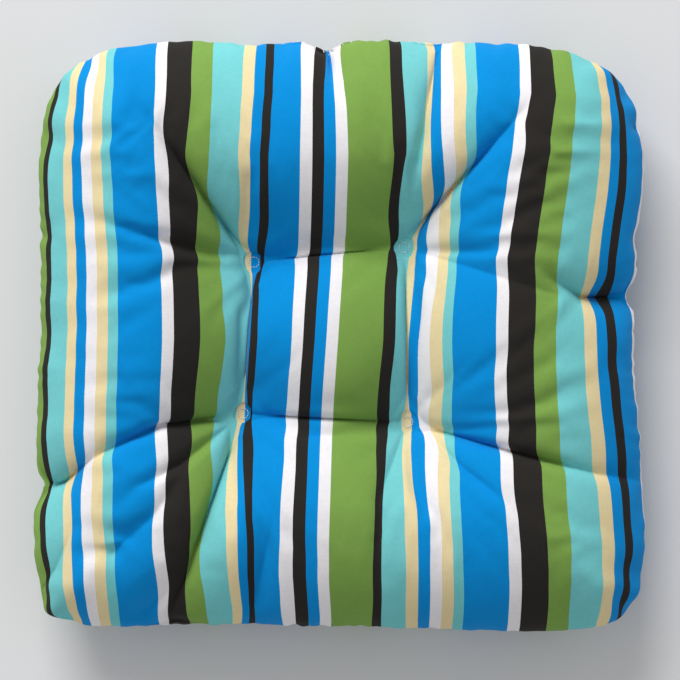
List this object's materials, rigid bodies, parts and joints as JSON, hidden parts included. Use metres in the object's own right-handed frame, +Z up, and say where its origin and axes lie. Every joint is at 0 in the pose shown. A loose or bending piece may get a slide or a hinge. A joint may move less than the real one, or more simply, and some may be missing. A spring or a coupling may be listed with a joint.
{
  "type": "chair seat pad",
  "caption": "Square knife-edge seat pad of two seamed fabric panels over loose fibre fill, drawn together by sewn circle tacks.",
  "frame": {"origin": "middle of the pad's plan, on the surface that it rests on", "axes": "+X across the pad to its right, which is its longest extent; +Y to its back edge, which has the closing stitches; +Z up through its thickness, which is its shortest extent"},
  "size_m": [0.5064, 0.4909, 0.0999],
  "materials": {
    "panel_fabric": "matt plain-weave spun polyester for outdoors, printed with uneven stripes of blue, aqua, green, sand, white and dark brown that run front to back",
    "fill_fibre": "loose lofted white polyester fibre",
    "sewing_thread": "matt spun polyester sewing thread",
    "tack_thread": "slightly glossy pale continuous-filament thread"
  },
  "bodies": {
    "root": {"top_panel": "panel_fabric", "bottom_panel": "panel_fabric", "fibre_fill": "fill_fibre", "perimeter_seam_thread": "sewing_thread", "overlock_thread": "sewing_thread", "closing_thread": "sewing_thread", "tack_thread_back_left": "tack_thread", "tack_thread_back_right": "tack_thread", "tack_thread_front_right": "tack_thread", "tack_thread_front_left": "tack_thread"}
  },
  "joints": []
}
